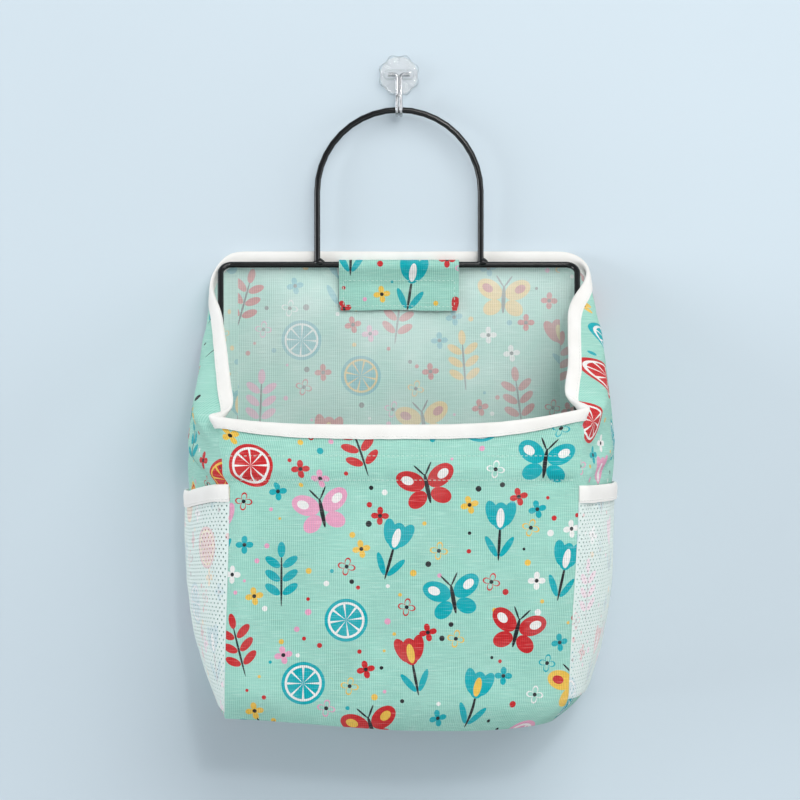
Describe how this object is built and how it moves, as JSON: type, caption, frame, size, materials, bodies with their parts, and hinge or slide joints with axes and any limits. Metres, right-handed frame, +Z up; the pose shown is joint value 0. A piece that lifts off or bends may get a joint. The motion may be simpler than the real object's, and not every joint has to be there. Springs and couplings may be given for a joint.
{
  "type": "wall-mounted fabric storage bag",
  "caption": "Printed cloth storage bag on a black wire frame with an arched handle, bound mouth and mesh side pockets, hung from a clear adhesive wall hook.",
  "frame": {"origin": "centre of the adhesive pad's back face, on the wall", "axes": "+X to the right as seen from the room, +Y into the wall, +Z up"},
  "size_m": [0.2872, 0.1187, 0.4268],
  "materials": {
    "adhesive_foam": "matt clear foam",
    "clear_plastic": "clear, glossy",
    "polished_steel": "polished",
    "black_enamel": "black gloss coating",
    "printed_cotton": "ribbed cotton and linen, printed, film-backed",
    "white_tape": "white cotton tape",
    "white_mesh": "white polyester mesh",
    "fastener_tape": "hook-and-loop tape"
  },
  "bodies": {
    "wall plate": {"adhesive_pad": "adhesive_foam", "wall_plate": "clear_plastic"},
    "hook": {"steel_hook": "polished_steel"},
    "bag": {"frame_loop": "black_enamel", "handle_arch": "black_enamel", "weld_bead_left": "black_enamel", "weld_bead_right": "black_enamel", "front_panel": "printed_cotton", "back_panel": "printed_cotton", "left_gusset": "printed_cotton", "right_gusset": "printed_cotton", "bottom_panel": "printed_cotton", "bar_casing": "printed_cotton", "mouth_binding": "white_tape", "mesh_pocket_left": "white_mesh", "mesh_pocket_right": "white_mesh", "pocket_band_left": "white_tape", "pocket_band_right": "white_tape", "loop_tape": "fastener_tape"},
    "tab": {"bar_tab": "printed_cotton", "hook_tape": "fastener_tape"}
  },
  "joints": [
    {"name": "hook_flip", "type": "hinge", "parent": "wall plate", "child": "hook", "pos_m": [0, -0.00535, 0], "axis": [-1, 0, 0], "range_deg": [0, 25]},
    {"name": "bag_swing", "type": "hinge", "parent": "hook", "child": "bag", "pos_m": [0, -0.00985, -0.0274], "axis": [0, 1, 0], "range_deg": [-15, 15]},
    {"name": "tab_flap", "type": "hinge", "parent": "bag", "child": "tab", "pos_m": [0, -0.0051, -0.12265], "axis": [-1, 0, 0], "range_deg": [0, 88]}
  ]
}
